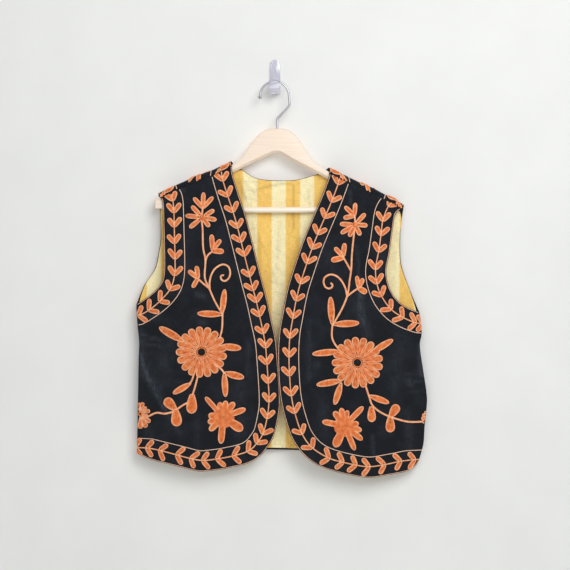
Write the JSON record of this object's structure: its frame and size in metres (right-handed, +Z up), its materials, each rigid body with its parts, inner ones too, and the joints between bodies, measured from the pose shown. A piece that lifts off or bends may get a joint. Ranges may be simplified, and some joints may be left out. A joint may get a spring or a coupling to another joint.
{
  "type": "embroidered velvet vest on a wooden hanger and wall hook",
  "caption": "Open black velvet vest with thick orange chain-stitch vines and flowers and a striped lining, hanging on a wooden hanger from a clear wall hook.",
  "frame": {"origin": "on the wall hook's flat back, on its middle line, 28.5 mm above the plate's lower end", "axes": "+X to the right of someone who faces the wall, +Y into the wall, +Z up"},
  "size_m": [0.5283, 0.05, 0.7608],
  "materials": {
    "velvet": "black cotton velvet, short pile with rubbed patches",
    "lining": "cotton lining with woven gold and cream stripes",
    "embroidery": "thick orange chain stitch, slight sheen",
    "wood": "clear-coated pale hardwood",
    "steel_wire": "polished plated steel wire",
    "clear_plastic": "clear moulded plastic, faint lilac"
  },
  "bodies": {
    "root": {"right_front": "velvet", "left_front": "velvet", "back": "velvet", "back_lining": "lining", "right_edge_vine": "embroidery", "right_armhole_vine": "embroidery", "right_spray": "embroidery", "right_small_flower": "embroidery", "left_edge_vine": "embroidery", "left_armhole_vine": "embroidery", "left_spray": "embroidery", "left_small_flower": "embroidery", "hanger_wood": "wood", "hanger_bar": "wood", "hanger_wire": "steel_wire", "wall_hook": "clear_plastic"}
  },
  "joints": []
}
